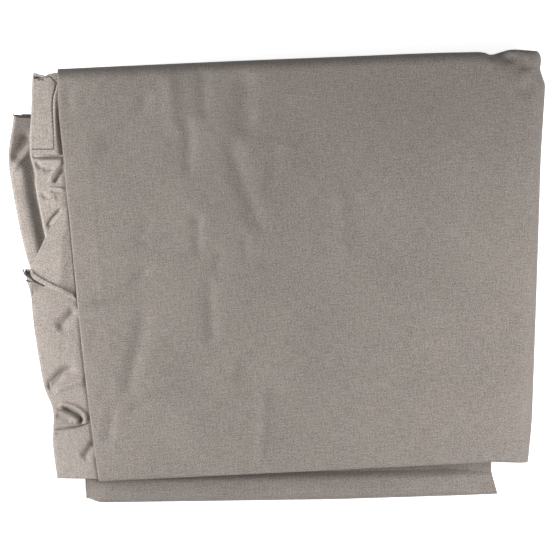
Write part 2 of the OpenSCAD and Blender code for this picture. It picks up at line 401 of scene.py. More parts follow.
def elasticMaterial():
    # braided elastic: ribs along its length and a fine cross braid; its colour is darkened in the hollows
    # between ribs and braid as painted shade, and varied at random by grime
    n = NodeTree("braidedElastic")
    place3d = n.add("ShaderNodeTexCoord").outputs["Object"]
    split = n.add("ShaderNodeSeparateXYZ")
    n.feed(place3d, split, 0)
    rib = n.maths("ABSOLUTE", n.maths("SINE", n.maths("MULTIPLY", split.outputs[0], math.pi / (1.1 * mm))))
    braid = n.maths("ABSOLUTE", n.maths("SINE", n.maths("MULTIPLY", split.outputs[1], math.pi / (0.8 * mm))))
    height = n.maths("MULTIPLY", rib, n.maths("ADD", n.maths("MULTIPLY", braid, 0.4), 0.6))
    grime = n.noise(place3d, 6 * mm, 3.0)
    # painted shade: darker where the ribs and braid dip, times random grime
    tone = n.maths("MULTIPLY", height, n.spread(grime, 0.3, 0.7, 0.75, 1.0))
    n.feed(n.mix(tone, (0.42, 0.40, 0.36), (0.66, 0.64, 0.60)), n.shader, "Base Color")
    n.shader.inputs["Roughness"].default_value = 0.7
    bump = n.add("ShaderNodeBump")
    bump.inputs["Strength"].default_value = 0.7
    bump.inputs["Distance"].default_value = 0.25 * mm
    n.feed(height, bump, "Height")
    n.feed(bump.outputs[0], n.shader, "Normal")
    return n.material


cloth = clothMaterial("taupeCloth")
# a brighter copy of the cloth: painted light on the casing, gathered hem, turned corner and back layer
paintedLightCloth = clothMaterial("taupeClothPaintedLight", clothLook["paintedLightLift"])
# a brighter copy of the cloth: painted light on the skirt
skirtPaintedLightCloth = clothMaterial("taupeClothSkirtPaintedLight", clothLook["skirtPaintedLightLift"])
thread = threadMaterial()
elastic = elasticMaterial()
print("materials done")


# the packets: plan patches, heights and rows

upperPlan = {   # the outer sheet's left edge and its right end on the spine, front to back
    "left": [(-0.665, -0.905), (-0.705, -0.55), (-0.75, -0.06), (-0.80, 0.555), (-0.815, 0.73), (-0.82, 0.905)],
    "frontRight": -0.82, "backRight": 0.99,
    "frontFold": 1.5 * mm, "backRoll": 9.5 * mm, "turnedBack": 15 * mm,
    "leftFold": 1.1 * mm,
    # share of the half width, mm
    "backWave": [(-0.82, 1.9), (0.5, 2.3), (0.62, 2.1), (0.76, 1.5), (0.785, 0.7), (0.80, -1.1), (0.815, -1.1),
                 (0.84, 0.4), (0.87, 2.0), (0.90, 2.6), (0.94, 2.4), (0.99, 2.4)],
}
lowerPlan = {
    "left": [(-0.72, -1.01), (-0.72, -0.60), (-0.725, 0.0), (-0.74, 0.87)],
    "frontRight": -0.985, "backRight": 0.895,
    "rightFlare": 5.8 * mm, "rightLift": 2.2 * mm,   # the roll's right end flares out and is drawn back
    "crest": 16.5 * mm, "dip": 9 * mm,      # the roll's top sinks behind its crest, under the upper packet
    "wrapRun": 1.87, "layRun": 1.85,        # how far the wrap and the lays run back, in half depths
}


def rollDip(inside):  # how far the lower packet's top sinks at a distance behind its front edge
    sunk = ease((inside - lowerPlan["crest"]) / (10 * mm)) * ease((60 * mm - inside) / (22 * mm))
    return lowerPlan["dip"] * sunk


# creases of the outer sheet: plan points, width mm, height mm (negative is a hollow)
topCreases = [
    ([(-0.78, 0.86), (-0.775, 0.68)], 3.5, -1.0),
    ([(-0.475, 0.84), (-0.51, 0.72), (-0.60, 0.62), (-0.69, 0.52)], 4.5, -2.4),
    ([(-0.40, 0.92), (-0.395, 0.74), (-0.37, 0.60)], 6, 1.6),
    ([(-0.345, 0.72), (-0.325, 0.58), (-0.335, 0.42)], 4.5, -1.5),
    ([(-0.275, 0.93), (-0.27, 0.68)], 5, -1.6),
    ([(-0.12, 0.93), (-0.115, 0.72), (-0.13, 0.58)], 8, -2.5),
    ([(-0.185, 0.66), (-0.14, 0.46), (-0.085, 0.29), (-0.045, 0.15)], 7, -2.4),
    ([(0.02, 0.58), (-0.02, 0.44), (-0.05, 0.34)], 5, -1.9),
    ([(0.10, 0.80), (0.13, 0.60), (0.15, 0.45)], 10, -0.8),
    ([(0.235, 0.44), (0.255, 0.02)], 6, 1.7),
    ([(0.36, 0.16), (0.40, 0.0)], 12, -0.8),
    ([(-0.295, 0.29), (-0.295, 0.08)], 4, -1.5),
    ([(-0.115, 0.19), (-0.115, 0.04)], 3.5, -1.1),
    ([(-0.22, 0.13), (-0.215, -0.02)], 3.5, -1.0),
    ([(-0.25, 0.02), (-0.25, -0.14), (-0.235, -0.33)], 5, -1.8),
    ([(-0.45, 0.06), (-0.54, -0.04), (-0.63, -0.095), (-0.73, -0.115)], 4, -2.8),
    ([(-0.475, -0.13), (-0.51, -0.28), (-0.54, -0.42), (-0.555, -0.57)], 6.5, -2.3),
    ([(-0.20, -0.40), (-0.38, -0.50), (-0.52, -0.575), (-0.585, -0.65)], 4, -2.2),
    ([(0.07, -0.20), (-0.06, -0.34), (-0.17, -0.47)], 6, -2.0),
    ([(0.26, -0.14), (0.10, -0.28), (-0.05, -0.42), (-0.10, -0.52)], 8, 1.6),
    ([(-0.045, -0.48), (-0.05, -0.66), (-0.065, -0.86)], 5, 1.8),
    ([(0.22, -0.64), (0.14, -0.82)], 7, 0.7),
    ([(-0.42, -0.58), (-0.40, -0.80)], 7, -0.6),
    ([(-0.61, -0.58), (-0.635, -0.74)], 3.5, -1.4),
    ([(-0.61, -0.46), (-0.67, -0.54)], 3, -0.7),
    ([(-0.155, -0.36), (-0.16, -0.49)], 4, 0.8),
    ([(-0.66, -0.22), (-0.70, -0.32)], 3.5, -0.9),
    ([(-0.47, 0.28), (-0.52, 0.12)], 4, -1.0),
    ([(-0.715, 0.86), (-0.70, 0.45), (-0.655, -0.05), (-0.60, -0.50), (-0.575, -0.80)], 1.6, 0.3),
    ([(0.805, 0.99), (0.835, 0.975), (0.865, 0.962), (0.90, 0.955)], 3.6, -3.4),
    ([(0.82, 0.97), (0.88, 0.95), (0.94, 0.93)], 8, -2.0),
    ([(0.895, 0.99), (0.92, 0.965), (0.932, 0.94), (0.935, 0.90)], 5, -2.6),
    ([(0.91, 0.80), (0.945, 0.835), (0.97, 0.86)], 5, -1.5),
]


topShape = {
    "below": 1.2 * mm,                            # how far the sheet's own level lies under the roof
    "hemSink": 2.2 * mm, "hemReach": 22 * mm,     # it sinks along the left hem
    "backSink": 6.5 * mm, "frontSink": 1.6 * mm, "rightSink": 2.2 * mm, "leftSink": 1.6 * mm,
    "lip": 1.3 * mm, "lipRight": 0.9 * mm, "lipReach": 4.5 * mm,   # the front edge rolls down
    "uneven": 0.25 * mm,
}


def topHeight(x, y):
    # outer sheet: nearly flat, lower along the left hem, falling away at the back right,
    # with its creases and a faint unevenness
    top = topShape
    u, v = share(x, y)
    leftEdge = np.interp(v, [p[1] for p in upperPlan["left"]], [p[0] for p in upperPlan["left"]])
    inside = (u - leftEdge) * halfWidth
    z = roof - top["below"] - top["hemSink"] * np.exp(-np.maximum(inside, 0) / top["hemReach"])
    z = z - top["backSink"] * ease((v - 0.45) / 0.55) * ease((u + 0.25) / 0.7)
    z = z - top["frontSink"] * ease((-v - 0.55) / 0.35) - top["rightSink"] * ease((u - 0.1) / 0.9)
    z = z - top["leftSink"] * ease((-u - 0.1) / 0.65)
    corner = upperPlan["left"][0]
    frontEdge = np.interp(u, [corner[0], 0.99], [corner[1], upperPlan["frontRight"]])
    behind = np.maximum(v - frontEdge, 0) * halfDepth
    lip = top["lip"] + top["lipRight"] * ease((u - 0.1) / 0.4)
    z = z - lip * np.exp(-(behind / top["lipReach"]) ** 1.3)
    return z + creases(x, y, topCreases) + top["uneven"] * ripple(x, y, 60 * mm, 3)


def patch(plan, f, g, inset=(0, 0, 0)):
    # ruled plan patch: straight lines from the left edge's curve to the line on the spine;
    # inset takes metres off the left, front and back
    left = np.stack(place(*through(plan["left"], 60).T), axis=1)
    s = np.linspace(0, 1, 60)
    yRight = place(0, plan["frontRight"])[1], place(0, plan["backRight"])[1]
    run = left[-1, 1] - left[0, 1]
    g = inset[1] / run + g * (1 - (inset[1] + inset[2]) / run)
    xl = np.interp(g, s, left[:, 0]) + inset[0]
    yl = np.interp(g, s, left[:, 1])
    yr = yRight[0] + g * (yRight[1] - yRight[0])
    xr = spineEnd(yr)
    x = xl + f * (xr - xl)
    return x, yl + (yr - yl) * (x - xl) / (xr - xl)


def backWave(x):  # the back edge is drawn in, then bulges out, where the sheet turns round the spine
    at, out = np.asarray(upperPlan["backWave"]).T
    return np.interp(share(x, 0)[0], at, out) * mm


def outward(plan, end):  # plan direction out of the front (0) or back (1) edge of a patch
    x, y = patch(plan, np.array([0.0, 1.0]), np.array([end, end], float))
    d = np.array([x[1] - x[0], y[1] - y[0]])
    d /= np.linalg.norm(d)
    return np.array([d[1], -d[0]]) * (1 if end == 0 else -1)


def rowSet(*groups):
    # rows of a carried sheet: share from front to back, reach past the edge, depth below the top
    return np.concatenate([np.broadcast_arrays(*[np.atleast_1d(np.asarray(c, float)) for c in group])
                           for group in groups], axis=1)


def halfTurn(count, start=-90.0, stop=90.0):
    return np.radians(np.linspace(start, stop, count + 2)[1:-1])


def outerRows(plan, insideDepth):
    # front: turned-back leg and half-round fold; top; back: quarter roll and the flank below it
    r, big = plan["frontFold"], plan["backRoll"]
    turn, roll = halfTurn(5), np.radians(np.linspace(0, 90, 9))[1:]
    leg = np.linspace(plan["turnedBack"], 0, 5)
    flank = np.linspace(0, 1, 10)[1:]
    return rowSet((0, -leg, 2 * r), (0, r * np.cos(turn), r - r * np.sin(turn)),
                  (np.linspace(0, 1, 150), 0, 0),
                  (1, big * np.sin(roll), big * (1 - np.cos(roll))),
                  (1, big - 0.6 * mm * np.sin(flank * 3), big + flank * (insideDepth - big)))


def topSheet():
    # ruled patch carried over the rows; the left edge folds under by a half-round column set
    plan = upperPlan
    g, reach, depth = outerRows(plan, roof - 1.5 * mm - midPlane - 1.2 * mm)
    turn = halfTurn(7, 270, 90)
    r = plan["leftFold"]
    f = np.concatenate([np.zeros(11), np.linspace(0, 1, 170)])
    sideways = np.concatenate([np.linspace(6 * mm, 0, 4), r * np.cos(turn), np.zeros(170)])
    sink = np.concatenate([np.full(4, 2 * r), r - r * np.sin(turn), np.zeros(170)])
    F, G = np.meshgrid(f, g, indexing="ij")
    x, yEdge = patch(plan, F, G, (r, plan["frontFold"], plan["backRoll"]))
    front, back = outward(plan, 0), outward(plan, 1)
    way = np.where(G[..., None] < 0.5, front, back)
    y = yEdge + way[..., 1] * reach[None]
    x = x + (1 - F) * way[..., 0] * reach[None] + F * (spineEnd(y) - spineEnd(yEdge)) + sideways[:, None]
    y = y + backWave(x) * ease((G - 0.9) / 0.1)
    z = topHeight(x, y)
    tight = np.where(depth > 0, 0.35, 1.0)[None]
    z = z - depth[None] - sink[:, None] * tight
    points = np.stack([x, y, z], axis=-1)
    sheetPiece("topSheet", "top_sheet", points, "upper_half")


topSheet()
print("top sheet done")


# the spine: folds that run round the right edge from one packet to the other

spineShape = {
    "squareness": 0.6, "lift": 0.9, "columns": 60, "innerLayers": 3,
    "lean": -0.9,       # share of the front edge's slope that keeps a row square to the spine
    "taper": 55 * mm,   # a row that is turned under stands in by its depth over this
    # how far the fold bulges past its reach along the edge: share of the half depth, mm
    "swell": [(-0.90, 1.2), (-0.80, 2.6), (-0.63, 4.2), (0.0, 3.4), (0.55, 2.4), (0.85, 3.6), (0.91, -1.0),
              (1.0, 0.3)],
}


def aroundSpine(plan, g, reach, depth, angle, level):
    # a sheet bent round the spine: at each angle from -90 (lower packet) to 90 (upper packet) it
    # stands off the middle line by a squared-off ellipse, scaled by its level (1 is the outer sheet)
    _, y0 = patch(plan, np.ones_like(g), g, (0, plan["frontFold"], plan["backRoll"]))
    front, back = outward(plan, 0), outward(plan, 1)
    way = np.where(g[:, None] < 0.5, front, back)
    y0 = y0 + way[:, 1] * reach
    c, s = np.cos(angle), np.sin(angle)
    at, swell = np.asarray(spineShape["swell"]).T
    widest = bundle["spineReach"] + np.interp(share(0, y0)[1], at, swell) * mm
    out = np.maximum(c, 0)[:, None] ** spineShape["squareness"] * widest[None]
    up = np.sign(s) * np.abs(s) ** spineShape["lift"]
    x = spineEnd(y0)[None] + out * (level - depth / spineShape["taper"])[None]
    y = y0[None] + (x - spineEnd(y0)[None]) * front[0] * spineShape["lean"]
    y = y + backWave(x) * ease((g[None] - 0.9) / 0.1)
    top = topHeight(spineEnd(y0)[None] + out, y) - midPlane
    bottom = midPlane - 0.8 * mm
    half = np.where(s[:, None] > 0, top, bottom)
    z = midPlane + up[:, None] * (half * level[None] - depth[None])
    return np.stack([x, y, z], axis=-1)


def spineOuterFold():
    plan = upperPlan
    r, big = plan["frontFold"], plan["backRoll"]
    turn, roll = halfTurn(5), np.radians(np.linspace(0, 90, 9))[1:]
    g, reach, depth = rowSet((0, -np.linspace(9 * mm, 0, 4), 2 * r),
                             (0, r * np.cos(turn), r - r * np.sin(turn)),
                             (np.linspace(0, 1, 150), 0, 0),
                             (1, big * np.sin(roll), big * (1 - np.cos(roll))),
                             (1, big, big + np.linspace(0, 1, 6)[1:] * 13 * mm))
    angle = np.radians(np.linspace(-90, 90, spineShape["columns"]))
    points = aroundSpine(plan, g, reach, depth, angle, np.ones_like(g))
    points[..., 2] = np.maximum(points[..., 2], 0.5 * mm)
    sheetPiece("spineOuterFold", "spine_outer_fold", points, None, ((0, 0, 1.0 * mm), (0, 0, roof - 3 * mm)))


# the lays: cloth folded to and fro between the front and the back

layShape = {
    "passes": 6,            # layers of cloth in one lay
    "frontUneven": 1.6 * mm, "leftUneven": 3.5 * mm, "uneven": 0.12 * mm,
    "headroom": 2.9 * mm,   # what the outer sheet and its hem take off the top
}
passShare = np.array([0, 0.012, 0.03, 0.07, 0.14, 0.3, 0.5, 0.7, 0.86, 0.93, 0.97, 0.988, 1])


def toAndFro(passes, pitch):
    # rows of a sheet folded to and fro: passes joined by half turns, alternately at the back and
    # the front; gives share front to back, reach past the edge and level counted in passes
    groups, turn = [], halfTurn(4)
    for k in range(passes):
        run = passShare if k % 2 == 0 else passShare[::-1]
        groups.append((run, 0, k + 0.5))
        if k < passes - 1:
            end = 1 if k % 2 == 0 else 0
            groups.append((end, pitch / 2 * np.cos(turn), k + 1 + np.sin(turn) / 2))
    return rowSet(*groups)


def layRows(seed, passes, pitch, f):
    # the same with each fold's own unevenness, fading away from the edges; one row per grid row
    draw = np.random.default_rng(seed)
    g, reach, level = toAndFro(passes, pitch)
    fold = np.round(level).astype(int)
    atFront = np.exp(-g / 0.04)
    atBack = np.exp(-(1 - g) / 0.04)
    shift = draw.uniform(-1, 0.3, passes + 2)
    sway = draw.uniform(0, 2 * math.pi, passes + 2)
    swayed = sway[fold][None]
    wave = 0.35 * np.sin(f[:, None] * 9 + swayed) + 0.25 * np.sin(f[:, None] * 23 + 2 * swayed)
    uneven = layShape["frontUneven"] * (shift[fold][None] + wave) * (atFront + atBack)[None]
    layer = np.floor(level).astype(int)
    leftShift = draw.uniform(-1, 1, passes + 2)[layer][None] + 0.5 * np.sin(g * 11 + sway[layer])[None]
    leftShift = layShape["leftUneven"] * leftShift
    return g, reach[None] + uneven, level, leftShift * (1 - f[:, None]) ** 6


def upperLay(name, node, lay, lays, seed):
    plan, n = upperPlan, layShape["passes"]
    f = np.concatenate([np.linspace(0, 0.1, 8), np.linspace(0.1, 1, 46)[1:]])
    g, reach, level, left = layRows(seed, n, 20 * mm / (n * lays), f)
    F, G = np.meshgrid(f, g, indexing="ij")
    x, y = patch(plan, F, G, (13 * mm, 3.2 * mm, 4 * mm))
    front, back = outward(plan, 0), outward(plan, 1)
    way = np.where(G[..., None] < 0.5, front, back)
    x, y = x + way[..., 0] * reach + left, y + way[..., 1] * reach
    low = midPlane + 0.35 * mm
    high = topHeight(x, y) - layShape["headroom"]
    z = low + (high - low) * (lay * n + level[None]) / (n * lays)
    z = z + layShape["uneven"] * ripple(x, y, 45 * mm, seed)
    points = np.stack([x, y, z], axis=-1)
    sheetPiece(name, node, points, "upper_half")


def spineInnerFolds(seed):
    # the lays' layers where they run round the spine, nested in the outer fold
    plan, n = upperPlan, layShape["passes"] * spineShape["innerLayers"]
    f = np.radians(np.linspace(-90, 90, 22))
    g, reach, level, _ = layRows(seed, n, 20 * mm / n, np.linspace(0, 1, 22))
    nested = 0.05 + 0.82 * level / n
    points = aroundSpine(plan, g, np.zeros_like(g), np.zeros_like(g), f, nested)
    points[..., 1] += np.where(g < 0.5, 1.5 * mm, -8 * mm) * (np.exp(-g / 0.04) + np.exp(-(1 - g) / 0.04))
    points[..., 1] += np.where(g < 0.5, -1, 1)[None] * reach
    sheetPiece("spineInnerFolds", "spine_inner_folds", points, None, ((0, 0, 4 * mm), (0, 0, roof - 6 * mm)))


# the lower packet

def rollShape(f):  # how full the front roll is along its length: it is pressed flat at its right end
    return 1 - 0.55 * ease((f - 0.90) / 0.10) - 0.12 * ease((0.05 - f) / 0.05)


def lowerWrap():
    plan = lowerPlan
    f = [np.linspace(0, 0.06, 10), np.linspace(0.06, 0.9, 90)[1:], np.linspace(0.9, 1, 18)[1:]]
    f = np.concatenate(f)
    r = midPlane / 2 - 0.6 * mm
    turn = halfTurn(22)
    legs = np.concatenate([np.linspace(1, 0.12, 30), np.linspace(0.12, 0, 20)[1:]])
    g = np.concatenate([legs, np.zeros(22), legs[::-1]])
    reach = np.concatenate([np.zeros(49), r * np.cos(turn) ** 0.75, np.zeros(49)])
    rise = np.concatenate([-np.ones(49), np.sign(turn) * np.abs(np.sin(turn)) ** 0.72, np.ones(49)])
    F, G = np.meshgrid(f, g, indexing="ij")
    x, y = patch(plan, F, G, (0, r, 0))
    front = outward(plan, 0)
    full = rollShape(f)[:, None]
    corner = 3.5 * mm * ease((0.05 - f[:, None]) / 0.05) ** 2
    x = x + front[0] * reach[None] * full
    y = y + front[1] * (reach[None] - corner)
    near = np.exp(-G * 9)
    centre = 0.5 * mm + r * (1 - (1 - full) * near)
    z = centre + rise[None] * (centre - 0.5 * mm)
    soft = 0.5 * mm * ripple(x, y * 0.4, 50 * mm, 11) - 0.4 * mm
    z = z + np.where(rise[None] > 0, np.minimum(soft, 0), 0) - 0.4 * mm * (rise[None] > 0)
    inside = G * (halfDepth * plan["wrapRun"]) + r
    z = z - rollDip(inside) * (rise[None] > 0.99)
    fromTip = inside - reach[None]
    x = x + lowerPlan["rightFlare"] * (1 - np.clip(fromTip / (21 * mm), 0, 2.6)) * ease((F - 0.86) / 0.14)
    y = y + lowerPlan["rightLift"] * np.clip((F - 0.62) / 0.38, 0, 1) * ease(1 - fromTip / (40 * mm))
    z = np.maximum(z, 0.35 * mm)
    points = np.stack([x, y, z], axis=-1)
    sheetPiece("lowerWrap", "lower_wrap", points, "lower_half")


def lowerLay(name, node, lay, lays, seed):
    n = layShape["passes"]
    f = np.concatenate([np.linspace(0, 0.1, 8), np.linspace(0.1, 1, 46)[1:]])
    g, reach, level, left = layRows(seed, n, 22 * mm / (n * lays), f)
    F, G = np.meshgrid(f, g, indexing="ij")
    bulge = (lay * n + level) / (n * lays) * 2 - 1
    x, y = patch(lowerPlan, F, G, (3 * mm, 12.5 * mm, 4 * mm))
    front, back = outward(lowerPlan, 0), outward(lowerPlan, 1)
    way = np.where(G[..., None] < 0.5, front, back)
    nose = 9.5 * mm * np.sqrt(np.maximum(0, 1 - bulge ** 2)) * np.exp(-g / 0.05)
    reach = reach + nose[None] * rollShape(f)[:, None]
    x, y = x + way[..., 0] * reach + left, y + way[..., 1] * reach
    low, high = 1.6 * mm, midPlane - 2.2 * mm
    squeeze = 1 - (1 - rollShape(f)[:, None]) * np.exp(-G * 9)
    squeeze = squeeze * (1 - rollDip(G * halfDepth * lowerPlan["layRun"] + 12 * mm) / midPlane)
    z = low + (high - low) * (lay * n + level[None]) / (n * lays) * squeeze
    z = z + layShape["uneven"] * ripple(x, y, 45 * mm, seed)
    points = np.stack([x, y, z], axis=-1)
    sheetPiece(name, node, points, "lower_half")


spineOuterFold()
spineInnerFolds(21)
for lay, part in enumerate(("bottom", "middle", "top")):
    upperLay("upperLay" + part.title(), "upper_lay_" + part, lay, 3, 31 + lay)
    lowerLay("lowerLay" + part.title(), "lower_lay_" + part, lay, 3, 41 + lay)
lowerWrap()
print("packets done")


# the left edge: hems and skirts that hang out past the outer sheet

def foldedPanel(left, right, top, radius, under, rows, lastRow=1.0, endTurn=0.0):
    # ruled cloth from a hidden right edge to the left outline, a half-round turn there and a
    # return leg below; with endTurn the front end is turned under the same way
    t = np.linspace(0, lastRow, rows)
    path = np.linspace(0, 1, 240)
    edges = []
    for shares in (left, right):
        line = route(shares, 240)
        edges.append(np.stack([np.interp(t, path, line[:, k]) for k in (0, 1)], axis=1))
    L, R = edges
    reach, drop = np.zeros(rows), np.zeros(rows)
    if endTurn:
        turn = halfTurn(5, 90, -90)
        leg = np.linspace(0, 14 * mm, 5)
        L, R = (np.concatenate([e, np.repeat(e[-1:], 10, axis=0)]) for e in (L, R))
        reach = np.concatenate([reach, endTurn * np.cos(turn), -leg])
        drop = np.concatenate([drop, endTurn - endTurn * np.sin(turn), np.full(5, 2 * endTurn)])
    inward = R - L
    inward /= np.linalg.norm(inward, axis=1, keepdims=True)
    start = L + inward * radius
    s = np.linspace(1, 0, 70) ** 1.3
    turn = halfTurn(9, 90, 270)
    leg = np.linspace(0, 1, 8)
    flat = start[None] + (R - start)[None] * s[:, None, None]
    curl = start[None] + inward[None] * (radius * np.cos(turn))[:, None, None]
    back = start[None] + inward[None] * (under * leg)[:, None, None]
    plan = np.concatenate([flat, curl, back])
    sink = np.concatenate([np.zeros(70), radius - radius * np.sin(turn), np.full(8, 2 * radius)])
    z = top(plan[..., 0], plan[..., 1]) - sink[:, None]
    tight = np.where(drop > 0, 0.5, 1.0)[None]
    z = z + sink[:, None] * (1 - tight) - drop[None]
    points = np.concatenate([plan, z[..., None]], axis=2)
    points[..., 1] -= reach[None]
    return points


def panelPiece(name, node, sheets, body, held="folded", thick=None, face=None):
    made = [(p,) + measured(p) for p in sheets]
    starts = np.concatenate([[0], np.cumsum([m[2][0] + 0.02 for m in made])])
    placed = [(p, uv + [start, 0]) for (p, uv, _), start in zip(made, starts)]
    piece = clothStack(name, placed, face or cloth, body, thick)
    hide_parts(node)
    if not held:
        return piece
    return piece


def edgeX(y, margin=0.0):  # x of the outer sheet's left edge at depth y, moved left by margin
    u, v = through(upperPlan["left"], 60).T
    x, yEdge = place(u, v)
    return np.interp(y, yEdge, x) - margin


casing = {
    "left": [(-0.915, 0.895), (-0.92, 0.72), (-0.925, 0.62), (-0.925, 0.535)],
    "right": [(-0.77, 0.895), (-0.76, 0.72), (-0.755, 0.62), (-0.75, 0.535)],
    "backEdge": [(-0.915, 0.885), (-0.91, 0.90), (-0.885, 0.89), (-0.865, 0.885), (-0.85, 0.895),
                 (-0.81, 0.90)],
    "stitch": [(-0.865, 0.875), (-0.85, 0.88), (-0.825, 0.85), (-0.83, 0.835), (-0.84, 0.77), (-0.835, 0.62),
               (-0.835, 0.56)],
    "crossStitch": [(-0.92, 0.56), (-0.835, 0.56)],
    "thickness": 3.6 * mm, "level": 44.2 * mm,
    "creases": [
        ([(-0.865, 0.89), (-0.85, 0.88), (-0.825, 0.85), (-0.84, 0.77), (-0.835, 0.62),
          (-0.835, 0.54)], 0.8, -0.75),
        ([(-0.82, 0.88), (-0.82, 0.84), (-0.83, 0.77), (-0.83, 0.54)], 1.0, 0.5),
        ([(-0.815, 0.775), (-0.815, 0.67), (-0.805, 0.555), (-0.80, 0.50)], 1.7, -3.2),
        ([(-0.895, 0.875), (-0.87, 0.875)], 1.0, -0.35),
        ([(-0.90, 0.86), (-0.875, 0.87)], 1.2, 0.35),
        ([(-0.90, 0.70), (-0.86, 0.71)], 4.0, 0.3),
        ([(-0.89, 0.81), (-0.86, 0.78)], 5.0, -0.3),
    ],
}
gathered = {
    "left": [(-0.925, 0.535), (-0.905, 0.45), (-0.905, 0.405), (-0.885, 0.275), (-0.865, 0.16), (-0.86, 0.10),
             (-0.86, -0.02)],
    "right": [(-0.75, 0.535), (-0.74, 0.45), (-0.735, 0.405), (-0.73, 0.275), (-0.73, 0.10), (-0.71, -0.02)],
    "level": 43.6 * mm, "creaseScale": 1.6,
    "creases": [
        ([(-0.94, 0.53), (-0.86, 0.53), (-0.78, 0.53)], 1.6, -1.7),
        ([(-0.915, 0.51), (-0.79, 0.51)], 1.3, 0.8),
        ([(-0.905, 0.51), (-0.88, 0.47)], 1.8, -1.3),
        ([(-0.88, 0.47), (-0.83, 0.475)], 1.8, -0.9),
        ([(-0.795, 0.52), (-0.83, 0.47), (-0.855, 0.415)], 1.6, 1.2),
        ([(-0.79, 0.48), (-0.84, 0.41)], 2.0, -2.4),
        ([(-0.86, 0.39), (-0.79, 0.385)], 1.0, 0.8),
        ([(-0.85, 0.375), (-0.80, 0.37)], 1.3, -0.8),
        ([(-0.885, 0.37), (-0.85, 0.335)], 2.0, -0.8),
        ([(-0.87, 0.33), (-0.82, 0.345)], 2.2, 0.7),
        ([(-0.86, 0.21), (-0.83, 0.265), (-0.80, 0.305)], 2.2, -1.5),
    ],
}
skirt = {
    "left": [(-0.94, 0.03), (-0.94, -0.015), (-0.925, -0.08), (-0.91, -0.24), (-0.875, -0.48), (-0.84, -0.595),
             (-0.84, -0.745), (-0.825, -0.89)],
    "right": [(-0.715, 0.03), (-0.71, -0.13), (-0.70, -0.24), (-0.67, -0.48), (-0.655, -0.595),
              (-0.635, -0.745), (-0.615, -0.89)],
    "frontFold": 1.0 * mm, "level": 43.5 * mm, "creaseScale": 1.75,
    "creases": [
        ([(-0.86, -0.03), (-0.90, -0.055), (-0.925, -0.125)], 3.4, -2.8),
        ([(-0.745, -0.14), (-0.785, -0.19), (-0.825, -0.245)], 4.4, -2.0),
        ([(-0.87, -0.515), (-0.83, -0.465), (-0.80, -0.425), (-0.745, -0.41)], 4.0, -2.6),
        ([(-0.85, -0.51), (-0.765, -0.475), (-0.70, -0.455)], 3.0, 1.5),
        ([(-0.81, -0.575), (-0.77, -0.60), (-0.735, -0.625), (-0.74, -0.665)], 1.8, -4.2),
        ([(-0.85, -0.59), (-0.79, -0.61), (-0.76, -0.625), (-0.75, -0.64), (-0.76, -0.66)], 1.2, 1.9),
        ([(-0.83, -0.56), (-0.765, -0.575), (-0.73, -0.60), (-0.715, -0.63), (-0.725, -0.67)], 1.9, 1.2),
        ([(-0.855, -0.665), (-0.80, -0.66), (-0.75, -0.65)], 1.4, 1.0),
        ([(-0.86, -0.685), (-0.79, -0.675), (-0.74, -0.665), (-0.68, -0.645)], 1.1, -2.3),
        ([(-0.835, -0.70), (-0.785, -0.70)], 2.4, -0.8),
        ([(-0.835, -0.615), (-0.765, -0.635)], 2.8, -1.5),
        ([(-0.73, -0.815), (-0.675, -0.725)], 3.4, -1.7),
        ([(-0.88, -0.28), (-0.80, -0.30)], 6.0, 0.4),
    ],
}


edgeSlope = 0.11   # how much a hem drops for each metre that it runs out past the outer sheet's edge


def casingHeight(x, y):  # flat tube lying level, dipping beside the outer sheet's edge
    past = x - edgeX(y)
    z = casing["level"] - 0.7 * mm * ease((past + 4 * mm) / (8 * mm)) + edgeSlope * np.minimum(past + 6 * mm, 0)
    return z + creases(x, y, casing["creases"]) + 0.12 * mm * ripple(x, y, 17 * mm, 51)


def gatheredHeight(x, y):  # lower than the casing, sloping down to the left towards the front
    v, past = share(x, y)[1], x - edgeX(y)
    z = gathered["level"] - 0.9 * mm * ease((0.5 - v) / 0.35) - 2.6 * mm * ease((0.16 - v) / 0.12)
    z = z + edgeSlope * np.minimum(past + 4 * mm, 0) - 0.6 * mm * ease((past + 3 * mm) / (5 * mm))
    z = z + gathered["creaseScale"] * creases(x, y, gathered["creases"])
    return z + 0.15 * mm * ripple(x, y, 14 * mm, 52)


def skirtHeight(x, y):  # crowned across, lower at both its edges and towards the front
    u, v = np.asarray(skirt["left"]).T
    leftX, leftY = place(u, v)
    fromLeft = np.maximum(x - np.interp(-y, -leftY, leftX), 0)
    past = x - edgeX(y)
    z = skirt["level"] - 1.8 * mm * np.exp(-fromLeft / (6 * mm)) - 0.7 * mm * ease((past + 3 * mm) / (5 * mm))
    z = z + 0.19 * np.minimum(past + 3 * mm, 0) - 0.4 * mm * ease((0.05 - share(x, y)[1]) / 0.1)
    return z + skirt["creaseScale"] * creases(x, y, skirt["creases"]) + 0.2 * mm * ripple(x, y, 24 * mm, 53)


def hemCasing():
    # the tube: its back end follows a cut, slightly wavy edge
    points = foldedPanel(casing["left"], casing["right"], casingHeight, casing["thickness"] / 2, 17 * mm, 110)
    xEdge, yEdge = place(*np.asarray(casing["backEdge"]).T)
    x, y = points[..., 0], points[..., 1]
    cut = np.interp(x, xEdge, yEdge) + 0.25 * mm * np.sin(x * 2100) * np.sin(x * 830)
    start, end = place(0, 0.83)[1], place(0, casing["left"][0][1])[1]
    points[..., 1] = y + (cut - end) * ease((y - start) / (end - start))
    # the casing takes the brighter copy of the cloth: painted light
    panelPiece("hemCasing", "hem_casing", [points], "upper_half", face=paintedLightCloth)


def gatheredHem():
    points = foldedPanel(gathered["left"], gathered["right"], gatheredHeight, 1.7 * mm, 15 * mm, 150)
    # the gathered hem and the leaf under the flap take the brighter copy of the cloth: painted light
    panelPiece("gatheredHem", "gathered_hem", [points, flapLeaf()], "upper_half", "gathered", face=paintedLightCloth)


